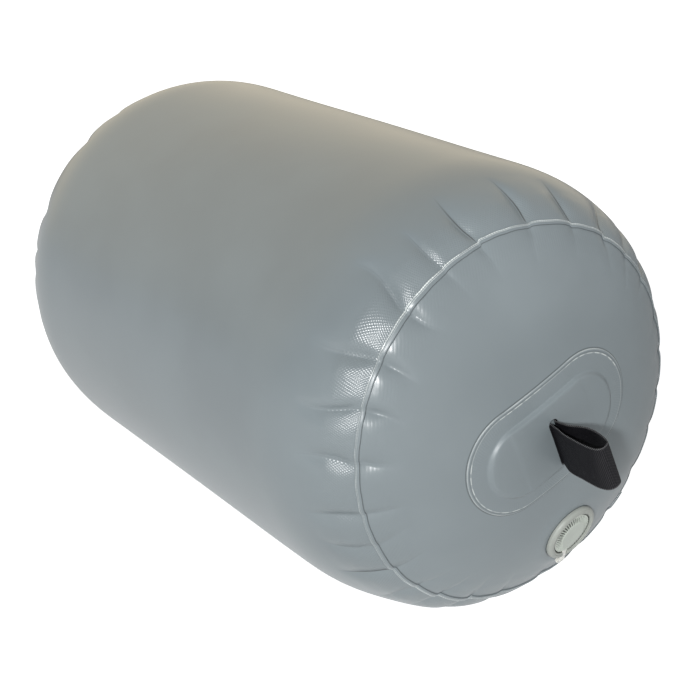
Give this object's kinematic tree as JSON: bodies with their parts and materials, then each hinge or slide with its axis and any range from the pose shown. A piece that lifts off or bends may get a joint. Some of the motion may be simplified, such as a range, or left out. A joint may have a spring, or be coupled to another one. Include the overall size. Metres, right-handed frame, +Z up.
{
  "type": "pneumatic fender",
  "caption": "Cylindrical inflatable boat fender with domed ends gathered into round seams, a webbing loop on each end and an air valve.",
  "frame": {"origin": "on the floor under the middle of the fender, which lies on its side on a small flat spot", "axes": "+X along the fender towards the valve end, +Y across, +Z up"},
  "size_m": [0.8914, 0.45, 0.448],
  "materials": {
    "skin": "satin grey PVC-coated cloth",
    "seam_strip": "satin grey welded strip with a pale cut edge",
    "webbing": "black woven polyester webbing",
    "valve_plastic": "satin light grey moulding",
    "cap_plastic": "satin pale grey moulding with grip ribs",
    "tether_plastic": "soft milky plastic",
    "black_rubber": "matt",
    "spring_steel": "bright wire"
  },
  "bodies": {
    "fender": {"body_panel": "skin", "front_end_panel": "skin", "rear_end_panel": "skin", "front_seam_strip": "seam_strip", "rear_seam_strip": "seam_strip", "front_seam_tape": "skin", "rear_seam_tape": "skin", "front_handle_base": "skin", "rear_handle_base": "skin", "front_handle_cover": "skin", "rear_handle_cover": "skin", "front_handle_webbing": "webbing", "rear_handle_webbing": "webbing", "valve_body": "valve_plastic", "back_nut": "valve_plastic", "cap_tether": "tether_plastic", "flange_gasket": "black_rubber", "stem_spring": "spring_steel"},
    "seal": {"cap_seal": "black_rubber"},
    "cap": {"valve_cap": "cap_plastic"},
    "stem": {"valve_stem": "valve_plastic", "stem_seal": "black_rubber"}
  },
  "joints": [
    {"name": "cap_lift", "type": "slide", "parent": "fender", "child": "seal", "axis": [0.9403, 0.1175, -0.3194], "range_m": [0, 0.0045], "deforming": ["cap_tether"]},
    {"name": "cap_turn", "type": "hinge", "parent": "seal", "child": "cap", "pos_m": [0.35797, 0.04489, 0.101], "axis": [0.9403, 0.1175, -0.3194], "range_deg": [0, 270]},
    {"name": "stem_press", "type": "slide", "parent": "fender", "child": "stem", "axis": [-0.9403, -0.1175, 0.3194], "range_m": [0, 0.0045], "stiffness_N_per_m": 250, "springref_m": -0.004, "deforming": ["stem_spring"]}
  ],
  "couplings": [
    {"joint": "cap_lift", "follows": "cap_turn", "m_per_rad": 0.00095493}
  ]
}
